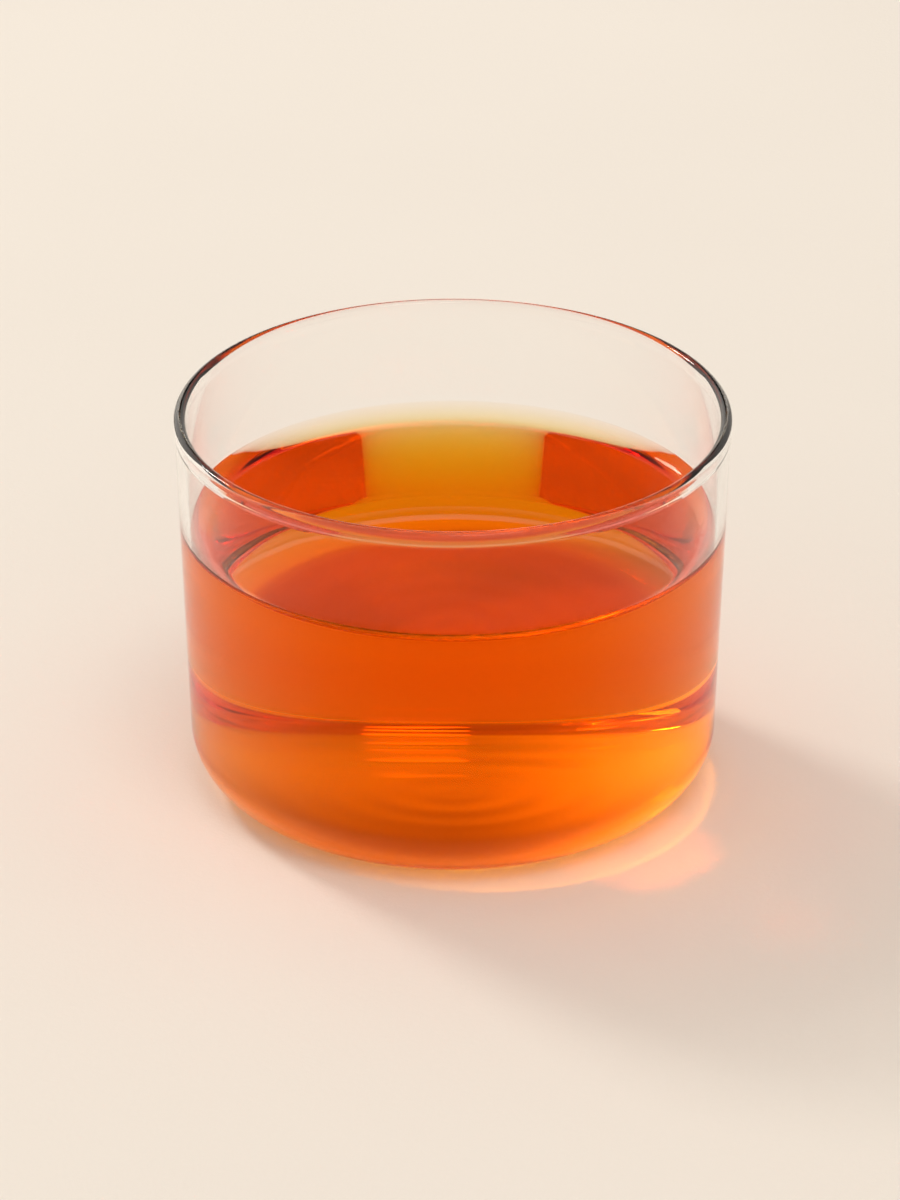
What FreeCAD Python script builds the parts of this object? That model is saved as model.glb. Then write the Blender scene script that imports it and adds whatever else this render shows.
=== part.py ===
import FreeCAD, Part
import math
import os

# A low clear glass cup, filled with tea.
# Millimetres, +Z up, origin at the centre of the foot, on the surface that the cup stands on.
# Both pieces are turned round the Z axis, so each outline lies in the XZ plane.

# Driving dimensions of the glass
cup_height = 60.8
lip_radius = 42.55
lip_thickness = 1.8
lip_height = 2.6
wall_radius_at_foot = 40.58
wall_flare = 0.032
wall_thickness = 1.5
foot_corner_radius = 8.9
base_thickness = 2.4
well_corner_radius = 7.5

# The push-up is a shallow hollow under the base, which leaves a ring for the cup to stand on
push_up_radius = 26.0
push_up_depth = 0.6

# Driving dimensions of the tea
tea_level = 41.4
meniscus_height = 2.2
meniscus_reach = 3.6

full_turn = 360.0
cubic_mm_in_ml = 1000.0


def at(radius, height):
    """A point of an outline, by its distance from the axis and its height."""
    return FreeCAD.Vector(radius, 0.0, height)


def outer_wall(height):
    """Radius of the flared wall's outside at a height."""
    return wall_radius_at_foot + wall_flare * height


def inner_wall(height):
    """Radius of the flared wall's inside at a height."""
    return outer_wall(height) - wall_thickness


def round_corner(floor_height, wall, radius):
    """Arc tangent to a flat floor and to the flared wall, from the floor to the wall."""
    lean = math.atan(wall_flare)
    centre_height = floor_height + radius
    centre_radius = wall(centre_height) - radius / math.cos(lean)

    def on_arc(angle):
        return at(centre_radius + radius * math.cos(angle), centre_height + radius * math.sin(angle))

    floor_angle = -math.pi / 2
    wall_angle = -lean
    middle_angle = (floor_angle + wall_angle) / 2
    return Part.Arc(on_arc(floor_angle), on_arc(middle_angle), on_arc(wall_angle)).toShape()


def ends(edge):
    """The two end points of an edge, in its own direction."""
    return edge.valueAt(edge.FirstParameter), edge.valueAt(edge.LastParameter)


def turned(edges):
    """Solid made by turning a closed outline of edges round the Z axis."""
    face = Part.Face(Part.Wire(edges))
    solid = face.revolve(FreeCAD.Vector(), FreeCAD.Vector(0, 0, 1), full_turn)
    return solid.removeSplitter()


def glass_cup():
    """The cup: pushed-up base with rounded corner, thin flared wall and a rounded lip."""
    foot_corner = round_corner(0.0, outer_wall, foot_corner_radius)
    well_corner = round_corner(base_thickness, inner_wall, well_corner_radius)
    foot_edge, outer_wall_start = ends(foot_corner)
    well_edge, inner_wall_start = ends(well_corner)

    half_lip = lip_thickness / 2
    lip_start = cup_height - lip_height
    lip_centre = lip_radius - half_lip
    outer_lip_start = at(outer_wall(lip_start), lip_start)
    inner_lip_start = at(inner_wall(lip_start), lip_start)
    lip_outside = at(lip_radius, cup_height - half_lip)
    lip_top = at(lip_centre, cup_height)
    lip_inside = at(lip_centre - half_lip, cup_height - half_lip)

    push_up_crown = at(0.0, push_up_depth)
    push_up_edge = at(push_up_radius, 0.0)
    # Half-way out, a shallow dome has come down by a quarter of its rise
    push_up_middle = at(push_up_radius / 2, push_up_depth - push_up_depth / 4)
    well_centre = at(0.0, base_thickness)

    return turned([
        Part.Arc(push_up_crown, push_up_middle, push_up_edge).toShape(),
        Part.makeLine(push_up_edge, foot_edge),
        foot_corner,
        Part.makeLine(outer_wall_start, outer_lip_start),
        Part.makeLine(outer_lip_start, lip_outside),
        Part.Arc(lip_outside, lip_top, lip_inside).toShape(),
        Part.makeLine(lip_inside, inner_lip_start),
        Part.makeLine(inner_lip_start, inner_wall_start),
        well_corner,
        Part.makeLine(well_edge, well_centre),
        Part.makeLine(well_centre, push_up_crown),
    ])


def tea():
    """The tea: fills the well up to its level and climbs the wall in a small meniscus."""
    well_corner = round_corner(base_thickness, inner_wall, well_corner_radius)
    well_edge, wall_start = ends(well_corner)
    well_centre = at(0.0, base_thickness)
    surface_centre = at(0.0, tea_level)

    contact_height = tea_level + meniscus_height
    contact_radius = inner_wall(contact_height)
    contact = at(contact_radius, contact_height)
    meniscus_foot = at(contact_radius - meniscus_reach, tea_level)
    # The meniscus is an arc that leaves the level surface smoothly
    meniscus_radius = (meniscus_reach ** 2 + meniscus_height ** 2) / (2 * meniscus_height)
    sweep = 2 * math.atan2(meniscus_height, meniscus_reach)
    half_way = at(
        meniscus_foot.x + meniscus_radius * math.sin(sweep / 2),
        tea_level + meniscus_radius * (1 - math.cos(sweep / 2)),
    )

    return turned([
        Part.makeLine(well_centre, well_edge),
        well_corner,
        Part.makeLine(wall_start, contact),
        Part.Arc(contact, half_way, meniscus_foot).toShape(),
        Part.makeLine(meniscus_foot, surface_centre),
        Part.makeLine(surface_centre, well_centre),
    ])


nodes = {
    "glass_cup": glass_cup(),
    "tea": tea(),
}

os.makedirs("parts", exist_ok=True)
for name, shape in nodes.items():
    shape.exportStep(f"parts/{name}.step")
    volume = shape.Volume / cubic_mm_in_ml
    print(f"{name}: {volume:.1f} ml, valid {shape.isValid()}, solids {len(shape.Solids)}")
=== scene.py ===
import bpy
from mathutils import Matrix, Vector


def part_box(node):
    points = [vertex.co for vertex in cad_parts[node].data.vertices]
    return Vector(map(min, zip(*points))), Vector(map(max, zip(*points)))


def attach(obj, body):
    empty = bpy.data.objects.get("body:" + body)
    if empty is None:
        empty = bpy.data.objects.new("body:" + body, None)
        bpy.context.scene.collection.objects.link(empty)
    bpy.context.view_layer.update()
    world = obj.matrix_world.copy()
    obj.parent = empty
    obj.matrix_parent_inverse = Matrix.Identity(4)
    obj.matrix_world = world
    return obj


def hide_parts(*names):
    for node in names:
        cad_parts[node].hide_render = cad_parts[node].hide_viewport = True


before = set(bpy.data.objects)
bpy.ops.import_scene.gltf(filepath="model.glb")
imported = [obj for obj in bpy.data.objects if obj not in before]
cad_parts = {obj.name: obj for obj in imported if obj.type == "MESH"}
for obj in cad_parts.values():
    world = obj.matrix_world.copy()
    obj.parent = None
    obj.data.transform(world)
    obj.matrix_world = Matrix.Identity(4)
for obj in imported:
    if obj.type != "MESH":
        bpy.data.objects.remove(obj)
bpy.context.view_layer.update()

import math

import bmesh
import bpy
from mathutils import Vector

# A low clear glass cup of tea. Metres, +Z up, origin at the centre of the foot.
mm = 0.001

# The glass. Its height comes from the frame, the rest is drawn from these sizes.
cup_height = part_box("glass_cup")[1][2]
lip_radius = 42.55 * mm
lip_thickness = 1.8 * mm
lip_height = 2.6 * mm
lip_blend = 1.5 * mm
wall_radius_at_foot = 40.58 * mm
wall_flare = 0.032
wall_thickness = 1.5 * mm
foot_corner_radius = 8.9 * mm
base_thickness = 2.4 * mm
well_corner_radius = 7.5 * mm
push_up_radius = 26.0 * mm
push_up_depth = 0.6 * mm
push_up_edge_rounding = 60.0 * mm
crown_fullness = 0.9
unevenness = 0.04 * mm
unevenness_width = 28 * mm
ripple_share = 0.03
ripple_spacing = 6.5 * mm

# The tea. Its highest place is where it meets the wall.
tea_contact_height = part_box("tea")[1][2]
meniscus_height = 2.2 * mm
meniscus_lean = 1.2 * mm
meniscus_rounding = 4.0 * mm
tea_level = tea_contact_height - meniscus_height
bite_into_wall = 0.2 * mm

# How finely a turned piece is divided
turned_segments = 320
lip_steps = 10
corner_steps = 20
crown_steps = 48
longest_step = 2.0 * mm
weld_distance = 0.001 * mm
# Just enough to tell one ring of an outline from the next
hair = 0.01 * mm

# Keeps the sideways part of a place, and the value about which noise wanders
sideways_only = (1, 1, 0)
noise_middle = 0.5


class Number:
    """A number that the nodes work out, so that sizes can be written as plain sums."""

    def __init__(self, bench, socket):
        self.bench = bench
        self.socket = socket

    def __add__(self, other):
        return self.bench.sum("ADD", self, other)

    def __sub__(self, other):
        return self.bench.sum("SUBTRACT", self, other)

    def __mul__(self, other):
        return self.bench.sum("MULTIPLY", self, other)

    def __truediv__(self, other):
        return self.bench.sum("DIVIDE", self, other)

    def __gt__(self, other):
        return self.bench.sum("GREATER_THAN", self, other)

    def __lt__(self, other):
        return self.bench.sum("LESS_THAN", self, other)


class Tree:
    """A node tree in the making."""

    def __init__(self, tree):
        self.tree = tree

    def connect(self, value, socket):
        """Links an input to an output or a number, or gives it a plain value."""
        if isinstance(value, Number):
            value = value.socket
        if isinstance(value, bpy.types.NodeSocket):
            self.tree.links.new(value, socket)
        else:
            socket.default_value = value

    def node(self, kind, inputs=None, output=None, **settings):
        """One output of a new node, by default the first that its settings leave enabled."""
        made = self.tree.nodes.new(kind)
        for name, value in settings.items():
            setattr(made, name, value)
        for name, value in (inputs or {}).items():
            self.connect(value, made.inputs[name])
        if output is not None:
            return made.outputs[output]
        return next(socket for socket in made.outputs if socket.enabled)


class Bench(Tree):
    """A Geometry Nodes tree, with named sizes, that turns a piece."""

    def __init__(self, name):
        super().__init__(bpy.data.node_groups.new(name, "GeometryNodeTree"))
        self.given = self.tree.nodes.new("NodeGroupInput")
        self.values = {}

    def sum(self, operation, *values):
        """A number worked out from others."""
        return Number(self, self.node(
            "ShaderNodeMath", dict(enumerate(values)), operation=operation))

    def size(self, name, value, kind="NodeSocketFloat"):
        """A named input of the tree, with the value that this cup gives it."""
        row = self.tree.interface.new_socket(name, in_out="INPUT", socket_type=kind)
        self.values[row.identifier] = value
        return Number(self, self.given.outputs[name])

    def chosen(self, kind, values, index):
        """The value that stands at an index in a short list."""
        switch = self.tree.nodes.new("GeometryNodeIndexSwitch")
        switch.data_type = kind
        while len(switch.index_switch_items) < len(values):
            switch.index_switch_items.new()
        self.connect(index, switch.inputs["Index"])
        for place, value in enumerate(values, start=1):
            self.connect(value, switch.inputs[place])
        return switch.outputs["Output"]

    def radius_and_height(self):
        """Each point's distance from the Z axis, and its height."""
        position = self.node("GeometryNodeInputPosition")
        level = self.node(
            "ShaderNodeVectorMath", {0: position, 1: sideways_only}, operation="MULTIPLY")
        radius = self.node("ShaderNodeVectorMath", {0: level}, output="Value", operation="LENGTH")
        height = self.node("ShaderNodeSeparateXYZ", {0: position}, output="Z")
        return Number(self, radius), Number(self, height)

    def outline(self, corners, longest):
        """An outline in the XZ plane through corners of radius, height, rounding and steps."""
        index = self.node("GeometryNodeInputIndex")
        position = self.node("GeometryNodeInputPosition")
        places = []
        roundings = []
        counts = []
        for radius, height, rounding, steps in corners:
            places.append(self.node("ShaderNodeCombineXYZ", {"X": radius, "Z": height}))
            roundings.append(rounding)
            counts.append(steps)
        points = self.node("GeometryNodePoints", {
            "Count": len(corners),
            "Position": self.chosen("VECTOR", places, index),
        })
        straight = self.node("GeometryNodePointsToCurves", {"Points": points, "Weight": index})
        rounded = self.node("GeometryNodeFilletCurve", {
            "Curve": straight,
            "Count": self.chosen("INT", counts, index),
            "Radius": self.chosen("FLOAT", roundings, index),
            "Limit Radius": True,
        }, mode="POLY")
        following = self.node("GeometryNodeFieldAtIndex", {
            "Index": self.sum("ADD", index, 1),
            "Value": position,
        }, data_type="FLOAT_VECTOR")
        run = self.node("ShaderNodeVectorMath", {0: position, 1: following}, operation="DISTANCE")
        return self.node("GeometryNodeSubdivideCurve", {
            "Curve": rounded,
            "Cuts": self.sum("DIVIDE", run, longest),
        })

    def turned(self, outline, segments):
        """The surface that an outline sweeps when it is turned once round the Z axis."""
        counted = self.node(
            "GeometryNodeAttributeDomainSize", {"Geometry": outline}, component="CURVE")
        around = segments + 1
        sheet = self.node("GeometryNodeMeshGrid", {"Vertices X": counted, "Vertices Y": around})
        index = self.node("GeometryNodeInputIndex")
        ring = self.sum("FLOOR", self.sum("DIVIDE", index, around))
        angle = (self.sum("SUBTRACT", index, ring * around) * math.tau) / segments
        sampled = self.node("GeometryNodeSampleIndex", {
            "Geometry": outline,
            "Value": self.node("GeometryNodeInputPosition"),
            "Index": ring,
        }, data_type="FLOAT_VECTOR")
        radius = Number(self, self.node("ShaderNodeSeparateXYZ", {0: sampled}, output="X"))
        place = self.node("ShaderNodeCombineXYZ", {
            "X": radius * self.sum("COSINE", angle),
            "Y": radius * self.sum("SINE", angle),
            "Z": self.node("ShaderNodeSeparateXYZ", {0: sampled}, output="Z"),
        })
        swept = self.node("GeometryNodeSetPosition", {"Geometry": sheet, "Position": place})
        return self.node(
            "GeometryNodeMergeByDistance", {"Geometry": swept, "Distance": weld_distance})

    def uneven(self, surface, depth, width):
        """Moves a turned wall in and out a little, as hot glass sets."""
        position = self.node("GeometryNodeInputPosition")
        wander = self.node("ShaderNodeTexNoise", {
            "Vector": position,
            "Scale": self.sum("DIVIDE", 1.0, width),
            "Detail": 1.0,
        })
        push = self.sum("SUBTRACT", wander, noise_middle) * depth
        sideways = self.node(
            "ShaderNodeVectorMath", {0: position, 1: sideways_only}, operation="MULTIPLY")
        outwards = self.node("ShaderNodeVectorMath", {0: sideways}, operation="NORMALIZE")
        offset = self.node(
            "ShaderNodeVectorMath", {0: outwards, "Scale": push}, operation="SCALE")
        return self.node("GeometryNodeSetPosition", {"Geometry": surface, "Offset": offset})

    def rippled(self, surface, share, spacing, reach, depth):
        """Rings round the middle of the push-up, as a mould leaves them, dying out at its edge."""
        radius, height = self.radius_and_height()
        inside = self.sum("MULTIPLY", radius < reach, height < depth + hair)
        wave = self.sum("SINE", (radius * math.tau) / spacing)
        rise = wave * (height * share)
        return self.node("GeometryNodeSetPosition", {
            "Geometry": surface,
            "Selection": inside,
            "Offset": self.node("ShaderNodeCombineXYZ", {"Z": rise}),
        })

    def piece(self, name, surface, finish, zones=(), crease_above=None):
        """Ends the tree, runs it once and keeps the plain mesh that it makes."""
        surface = self.node("GeometryNodeSetShadeSmooth", {"Geometry": surface})
        if crease_above is not None:
            surface = self.node("GeometryNodeSetShadeSmooth", {
                "Geometry": surface,
                "Selection": self.radius_and_height()[1] > crease_above,
                "Shade Smooth": False,
            }, domain="EDGE")
        surface = self.node("GeometryNodeRealizeInstances", {"Geometry": surface})
        surface = self.node("GeometryNodeSetMaterial", {"Geometry": surface, "Material": finish})
        for zone, zone_finish in zones:
            surface = self.node("GeometryNodeSetMaterial", {
                "Geometry": surface,
                "Selection": zone,
                "Material": zone_finish,
            })
        self.tree.interface.new_socket(
            "Geometry", in_out="OUTPUT", socket_type="NodeSocketGeometry")
        self.connect(surface, self.tree.nodes.new("NodeGroupOutput").inputs[0])

        maker = bpy.data.objects.new(name + "_maker", bpy.data.meshes.new(name + "_blank"))
        bpy.context.collection.objects.link(maker)
        modifier = maker.modifiers.new(self.tree.name, "NODES")
        modifier.node_group = self.tree
        for identifier, value in self.values.items():
            modifier[identifier] = value
        evaluated = maker.evaluated_get(bpy.context.evaluated_depsgraph_get())
        mesh = bpy.data.meshes.new_from_object(evaluated)
        mesh.name = name
        bpy.data.objects.remove(maker)
        face_outwards(mesh)
        made = bpy.data.objects.new(name, mesh)
        bpy.context.collection.objects.link(made)
        return made


def face_outwards(mesh):
    """Turns every face of a closed mesh outwards."""
    shell = bmesh.new()
    shell.from_mesh(mesh)
    bmesh.ops.recalc_face_normals(shell, faces=shell.faces)
    if shell.calc_volume(signed=True) < 0:
        bmesh.ops.reverse_faces(shell, faces=shell.faces)
    shell.to_mesh(mesh)
    shell.free()


def wall_sizes(bench):
    """The sizes that the glass and the tea share: the flared wall and the well."""
    foot_radius = bench.size("Wall radius at foot", wall_radius_at_foot)
    flare = bench.size("Wall flare", wall_flare)
    thickness = bench.size("Wall thickness", wall_thickness)
    base = bench.size("Base thickness", base_thickness)
    well_corner = bench.size("Well corner radius", well_corner_radius)

    def outer(height):
        return foot_radius + flare * height

    def inner(height):
        return outer(height) - thickness

    return outer, inner, base, well_corner


def turned_glass(finish, lip_finish, band_finish, wet_finish):
    """The cup of glass: pushed-up base, rounded foot, thin flared wall and fire-polished lip."""
    bench = Bench("Turned glass cup")
    outer, inner, base, well_corner = wall_sizes(bench)
    height = bench.size("Cup height", cup_height)
    lip = bench.size("Lip radius", lip_radius)
    bead = bench.size("Lip thickness", lip_thickness)
    bead_start = height - bench.size("Lip height", lip_height)
    bead_blend = bench.size("Lip blend", lip_blend)
    foot_corner = bench.size("Foot corner radius", foot_corner_radius)
    push_up = bench.size("Push-up radius", push_up_radius)
    push_up_rise = bench.size("Push-up depth", push_up_depth)
    push_up_edge = bench.size("Push-up edge rounding", push_up_edge_rounding)
    contact = bench.size("Tea contact height", tea_contact_height)
    longest = bench.size("Longest step", longest_step)
    segments = bench.size("Segments", turned_segments, "NodeSocketInt")
    depth = bench.size("Unevenness", unevenness)
    width = bench.size("Unevenness width", unevenness_width)
    share = bench.size("Ripple share", ripple_share)
    spacing = bench.size("Ripple spacing", ripple_spacing)

    half_bead = bead / 2
    bead_middle = height - bead
    # The crown of the push-up is one long arc, whose two tangents meet half-way out
    crown_corner = push_up / 2
    crown_rounding = (crown_corner * push_up * crown_fullness) / push_up_rise
    outline = bench.outline([
        (0.0, push_up_rise, 0.0, 1),
        (crown_corner, push_up_rise, crown_rounding, crown_steps),
        (push_up, 0.0, push_up_edge, lip_steps),
        (outer(0.0), 0.0, foot_corner, corner_steps),
        (outer(bead_start), bead_start, bead_blend, lip_steps),
        (lip, bead_middle, bead_blend, lip_steps),
        (lip, height, half_bead, corner_steps),
        (lip - bead, height, half_bead, corner_steps),
        (lip - bead, bead_middle, bead_blend, lip_steps),
        (inner(bead_start), bead_start, bead_blend, lip_steps),
        (inner(base), base, well_corner, corner_steps),
        (0.0, base, 0.0, 1),
    ], longest)
    surface = bench.turned(outline, segments)
    surface = bench.rippled(surface, share, spacing, push_up, push_up_rise)
    surface = bench.uneven(surface, depth, width)

    # The band is the outside of the wall where tea stands behind it, and wet is the inside there
    radius, place_height = bench.radius_and_height()
    within_wall = inner(place_height) + half_bead / 2
    below_contact = place_height < contact
    band = (radius > within_wall) * (below_contact * (place_height > foot_corner))
    wet = (radius < within_wall) * (below_contact * (place_height > (base - weld_distance)))
    rim = place_height > bead_start
    # Each zone gets its own copy of the glass with its own mirror share; on the dry wall and the band
    # the dimmed share is painted-out reflection
    zones = [(rim, lip_finish), (band, band_finish), (wet, wet_finish)]
    return bench.piece("glass_cup_wall", surface, finish, zones)


def turned_tea(finish):
    """The tea: it fills the well, bites a little into the wall and climbs it at the edge."""
    bench = Bench("Turned tea")
    inner, base, well_corner = wall_sizes(bench)[1:]
    level = bench.size("Tea level", tea_level)
    climb = bench.size("Meniscus height", meniscus_height)
    lean = bench.size("Meniscus lean", meniscus_lean)
    rounding = bench.size("Meniscus rounding", meniscus_rounding)
    bite = bench.size("Bite into wall", bite_into_wall)
    longest = bench.size("Longest step", longest_step)
    segments = bench.size("Segments", turned_segments, "NodeSocketInt")

    floor = base - bite
    contact = level + climb
    outline = bench.outline([
        (0.0, floor, 0.0, 1),
        (inner(floor) + bite, floor, well_corner + bite, corner_steps),
        (inner(level) + bite, level, 0.0, 1),
        (inner(contact), contact, 0.0, 1),
        (inner(level) - lean, level, rounding, corner_steps),
        (0.0, level, 0.0, 1),
    ], longest)
    surface = bench.turned(outline, segments)
    return bench.piece("tea_body", surface, finish, crease_above=contact - hair)


class Finish(Tree):
    """A material in the making, on a piece's own coordinates."""

    def __init__(self, name):
        self.material = bpy.data.materials.new(name)
        self.material.use_nodes = True
        super().__init__(self.material.node_tree)
        self.shader = self.tree.nodes["Principled BSDF"]
        self.place = self.node("ShaderNodeTexCoord", output="Object")

    def set(self, **values):
        """Sets or links the shader's inputs by their names."""
        for name, value in values.items():
            title = name.replace("_", " ").title().replace("Ior", "IOR")
            self.connect(value, self.shader.inputs[title])

    def noise(self, width, detail=2.0, roughness=0.5):
        """Cloudy variation from 0 to 1, of a width in metres."""
        return self.node("ShaderNodeTexNoise", {
            "Vector": self.place,
            "Scale": 1 / width,
            "Detail": detail,
            "Roughness": roughness,
        })

    def ranged(self, value, low, high, low_result, high_result):
        """Spreads a value between two results."""
        return self.node("ShaderNodeMapRange", {
            "Value": value,
            "From Min": low,
            "From Max": high,
            "To Min": low_result,
            "To Max": high_result,
        }, interpolation_type="SMOOTHSTEP")

    def blended(self, amount, low_colour, high_colour):
        """A colour between two, by an amount from 0 to 1."""
        ramp = self.tree.nodes.new("ShaderNodeValToRGB")
        ramp.color_ramp.elements[0].color = low_colour
        ramp.color_ramp.elements[1].color = high_colour
        self.connect(amount, ramp.inputs[0])
        return ramp.outputs[0]

    def bump(self, height, distance):
        """Small relief on the surface."""
        return self.node("ShaderNodeBump", {"Height": height, "Distance": distance})


# How the glass looks. The lip bends light less, which keeps its outline thin.
glass_ior = 1.47
lip_ior = 1.36
smear_width = 9 * mm
smear_detail = 4.0
smear_start = 0.55
smear_full = 0.75
smear_roughness = 0.035
glass_wave_width = 16 * mm
glass_wave_depth = 0.01 * mm
glass_tint_width = 40 * mm
glass_low_tint = (0.992, 0.996, 0.990, 1.0)
glass_high_tint = (1.0, 1.0, 0.998, 1.0)

# How the tea looks: its top is clear, and its side has a faint tint
tea_ior = 1.333
tea_strength = 200.0
tea_lets_through = (0.994, 0.872, 0.12, 1.0)
tea_top_colour = (1.0, 0.985, 0.95, 1.0)
tea_side_colour = (1.0, 0.95, 0.82, 1.0)
tea_side_end = tea_level - 2 * mm
tea_top_start = tea_level - 1 * mm
tea_cloud_width = 22 * mm
tea_cloud_low = 0.3
tea_cloud_high = 0.7
tea_cloud_share = 0.2
tea_dull_width = 12 * mm
tea_dull_low = 0.35
tea_dull_high = 0.65
tea_dull_roughness = 0.006
tea_wave_width = 14 * mm
tea_wave_depth = 0.006 * mm

# How much of the plain mirror image each surface keeps: less than real glass and tea give back, a
# painted-out reflection, except the wet inside, which mirrors almost nothing against tea anyway
dry_glass_mirror = 0.2
lip_mirror = 1.0
band_glass_mirror = 0.05
wet_glass_mirror = 0.0
tea_mirror = 0.0

# The paper that the cup stands on
floor_low_colour = (0.80, 0.750, 0.690, 1.0)
floor_high_colour = (0.88, 0.832, 0.772, 1.0)
floor_cloud_width = 220 * mm
floor_cloud_detail = 3.0
floor_grain_width = 0.9 * mm
floor_grain_detail = 3.0
floor_grain_roughness = 0.7
floor_grain_low = 0.2
floor_grain_high = 0.8
floor_grain_depth = 0.05 * mm
floor_smoothest = 0.75
floor_roughest = 0.9


def clear_glass(name, mirror, bending=glass_ior):
    """Colourless heat-resistant glass: slight waviness, and faint smears from handling."""
    finish = Finish(name)
    smears = finish.ranged(
        finish.noise(smear_width, smear_detail), smear_start, smear_full, 0.0, smear_roughness)
    finish.set(
        base_color=finish.blended(
            finish.noise(glass_tint_width), glass_low_tint, glass_high_tint),
        roughness=smears,
        normal=finish.bump(finish.noise(glass_wave_width, 1.0), glass_wave_depth),
        ior=bending,
        transmission_weight=1.0,
        specular_tint=(mirror, mirror, mirror, 1.0),
    )
    return finish.material


def brewed_tea(name):
    """Clear tea that takes out blue first, then green, so that it deepens from amber to red."""
    finish = Finish(name)
    height = finish.node("ShaderNodeSeparateXYZ", {0: finish.place}, output="Z")
    below = finish.ranged(height, tea_side_end, tea_top_start, 0.0, 1.0 - tea_cloud_share)
    cloud = finish.ranged(
        finish.noise(tea_cloud_width), tea_cloud_low, tea_cloud_high, 0.0, tea_cloud_share)
    dull = finish.ranged(
        finish.noise(tea_dull_width), tea_dull_low, tea_dull_high, 0.0, tea_dull_roughness)
    amount = finish.node("ShaderNodeMath", {0: below, 1: cloud}, operation="ADD")
    finish.set(
        base_color=finish.blended(amount, tea_side_colour, tea_top_colour),
        roughness=dull,
        normal=finish.bump(finish.noise(tea_wave_width, 1.0), tea_wave_depth),
        ior=tea_ior,
        transmission_weight=1.0,
        specular_tint=(tea_mirror, tea_mirror, tea_mirror, 1.0),
    )
    depth = finish.node(
        "ShaderNodeVolumeAbsorption", {"Color": tea_lets_through, "Density": tea_strength})
    finish.connect(depth, finish.tree.nodes["Material Output"].inputs["Volume"])
    return finish.material


def pale_floor(name):
    """Pale warm paper, with a fine grain and faint clouds."""
    finish = Finish(name)
    clouds = finish.noise(floor_cloud_width, floor_cloud_detail)
    grain = finish.noise(floor_grain_width, floor_grain_detail, floor_grain_roughness)
    finish.set(
        base_color=finish.blended(clouds, floor_low_colour, floor_high_colour),
        roughness=finish.ranged(
            grain, floor_grain_low, floor_grain_high, floor_smoothest, floor_roughest),
        normal=finish.bump(grain, floor_grain_depth),
    )
    return finish.material


glass = turned_glass(
    clear_glass("blown_glass", dry_glass_mirror),
    clear_glass("fire_polished_glass", lip_mirror, lip_ior),
    clear_glass("blown_glass_before_tea", band_glass_mirror),
    clear_glass("wet_glass", wet_glass_mirror),
)
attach(glass, "root")
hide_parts("glass_cup")

tea = turned_tea(brewed_tea("brewed_tea"))
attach(tea, "root")
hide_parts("tea")

# Floor
floor_half = 3.0
floor_gap = 0.05 * mm


def flat_floor(half, gap):
    """A square of floor, just under the cup."""
    mesh = bpy.data.meshes.new("floor")
    corners = [(-half, -half, -gap), (half, -half, -gap), (half, half, -gap), (-half, half, -gap)]
    mesh.from_pydata(corners, [], [(0, 1, 2, 3)])
    mesh.materials.append(pale_floor("pale_paper"))
    made = bpy.data.objects.new("floor", mesh)
    bpy.context.collection.objects.link(made)
    return made


floor = flat_floor(floor_half, floor_gap)

# Light. The room is bright low down and dimmer above.
room_low_colour = (1.0, 0.93, 0.85, 1.0)
room_high_colour = (0.55, 0.52, 0.48, 1.0)
room_low = 0.40
room_high = 0.68
room_strength = 0.93
# A tall curtained window, low on the left behind the cup
window_elevation = math.radians(24)
window_turn = math.radians(48)
window_direction = (
    -math.sin(window_turn) * math.cos(window_elevation),
    math.cos(window_turn) * math.cos(window_elevation),
    math.sin(window_elevation),
)
window_strength = 2.0
window_outside = math.cos(math.radians(44))
window_inside = math.cos(math.radians(12))
# A small dark card stands where the level tea mirrors the room towards the camera
card_strength = 0.02
card_elevation = math.radians(26.3)
card_direction = (0.0, math.cos(card_elevation), math.sin(card_elevation))
card_outside = math.cos(math.radians(8))
card_inside = math.cos(math.radians(4.5))
# Only rays that were mirrored at least once see the card
mirrored_once = 0.5
# Rays that have gone through the tea have crossed more surfaces than this, and miss the card
card_crossings = 4.5


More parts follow.
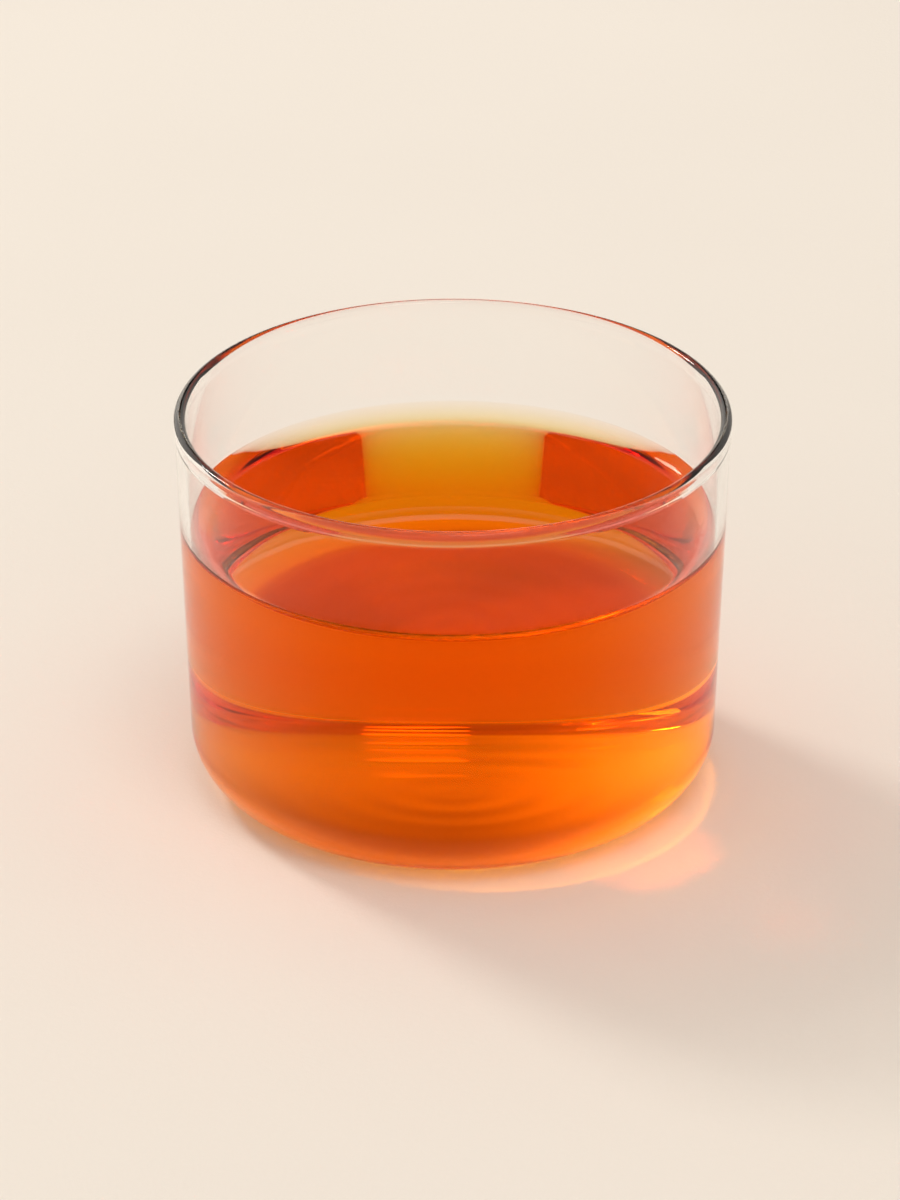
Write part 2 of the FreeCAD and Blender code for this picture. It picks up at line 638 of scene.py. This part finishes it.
def soft_room(name):
    """The room all round, with its window, and the dark card for plain mirror images only."""
    world = bpy.data.worlds.new(name)
    world.use_nodes = True
    room = Tree(world.node_tree)
    view = room.node("ShaderNodeTexCoord", output="Generated")
    background = room.tree.nodes["Background"]

    def near(direction, outside, inside, low, high, easing):
        """Goes from a low value to a high one as the view nears a direction."""
        facing = room.node(
            "ShaderNodeVectorMath", {0: view, 1: direction}, output="Value", operation="DOT_PRODUCT")
        return room.node("ShaderNodeMapRange", {
            "Value": facing,
            "From Min": outside,
            "From Max": inside,
            "To Min": low,
            "To Max": high,
        }, interpolation_type=easing)

    def worked_out(operation, first, second):
        return room.node("ShaderNodeMath", {0: first, 1: second}, operation=operation)

    ramp = room.tree.nodes.new("ShaderNodeValToRGB")
    ramp.color_ramp.interpolation = "EASE"
    low_end, high_end = ramp.color_ramp.elements
    low_end.position = room_low
    low_end.color = room_low_colour
    high_end.position = room_high
    high_end.color = room_high_colour
    room.connect(room.node("ShaderNodeSeparateXYZ", {0: view}, output="Z"), ramp.inputs[0])
    room.connect(ramp.outputs[0], background.inputs["Color"])

    window = near(
        window_direction, window_outside, window_inside, room_strength, window_strength, "SMOOTHSTEP")
    card = near(card_direction, card_outside, card_inside, 0.0, 1.0, "LINEAR")
    mirrored = worked_out(
        "GREATER_THAN", room.node("ShaderNodeLightPath", output="Glossy Depth"), mirrored_once)
    clear_of_tea = worked_out(
        "LESS_THAN", room.node("ShaderNodeLightPath", output="Transmission Depth"), card_crossings)
    hidden = worked_out("MULTIPLY", worked_out("MULTIPLY", mirrored, clear_of_tea), card)
    strength = room.node("ShaderNodeMix", {0: hidden, 2: window, 3: card_strength})
    room.connect(strength, background.inputs["Strength"])
    bpy.context.scene.world = world


def soft_lamp(name, place, width, power):
    """A round soft lamp that looks at the cup."""
    data = bpy.data.lights.new(name, "AREA")
    data.shape = "DISK"
    data.size = width
    data.energy = power
    data.color = lamp_colour
    made = bpy.data.objects.new(name, data)
    made.location = place
    made.rotation_euler = (lamp_aim - Vector(place)).to_track_quat("-Z", "Y").to_euler()
    bpy.context.collection.objects.link(made)


lamp_colour = (1.0, 0.955, 0.89)
lamp_aim = Vector((0.0, 0.0, 30 * mm))
soft_room("soft_room")
soft_lamp("key", place=(-1.1, 1.1, 1.25), width=0.4, power=12.0)
soft_lamp("high_fill", place=(0.3, -0.8, 1.8), width=0.9, power=6.0)

# Camera
camera_aim = Vector((-0.45 * mm, 0.0, 28.5 * mm))
camera_distance = 920 * mm
camera_elevation = math.radians(26.95)
camera_lens = 178.4


def place_camera():
    """A long lens that looks down on the cup from the front."""
    data = bpy.data.cameras.new("camera")
    data.lens = camera_lens
    camera = bpy.data.objects.new("camera", data)
    back = Vector((0.0, -math.cos(camera_elevation), math.sin(camera_elevation)))
    camera.location = camera_aim + back * camera_distance
    camera.rotation_euler = back.to_track_quat("Z", "Y").to_euler()
    bpy.context.collection.objects.link(camera)
    bpy.context.scene.camera = camera


place_camera()

# Light passes through many layers of glass and tea, unblurred, on its way to the floor
cycles = bpy.context.scene.cycles
cycles.blur_glossy = 0.0
cycles.max_bounces = 32
cycles.transmission_bounces = 32
cycles.glossy_bounces = 16
bpy.context.scene.view_settings.view_transform = "Standard"
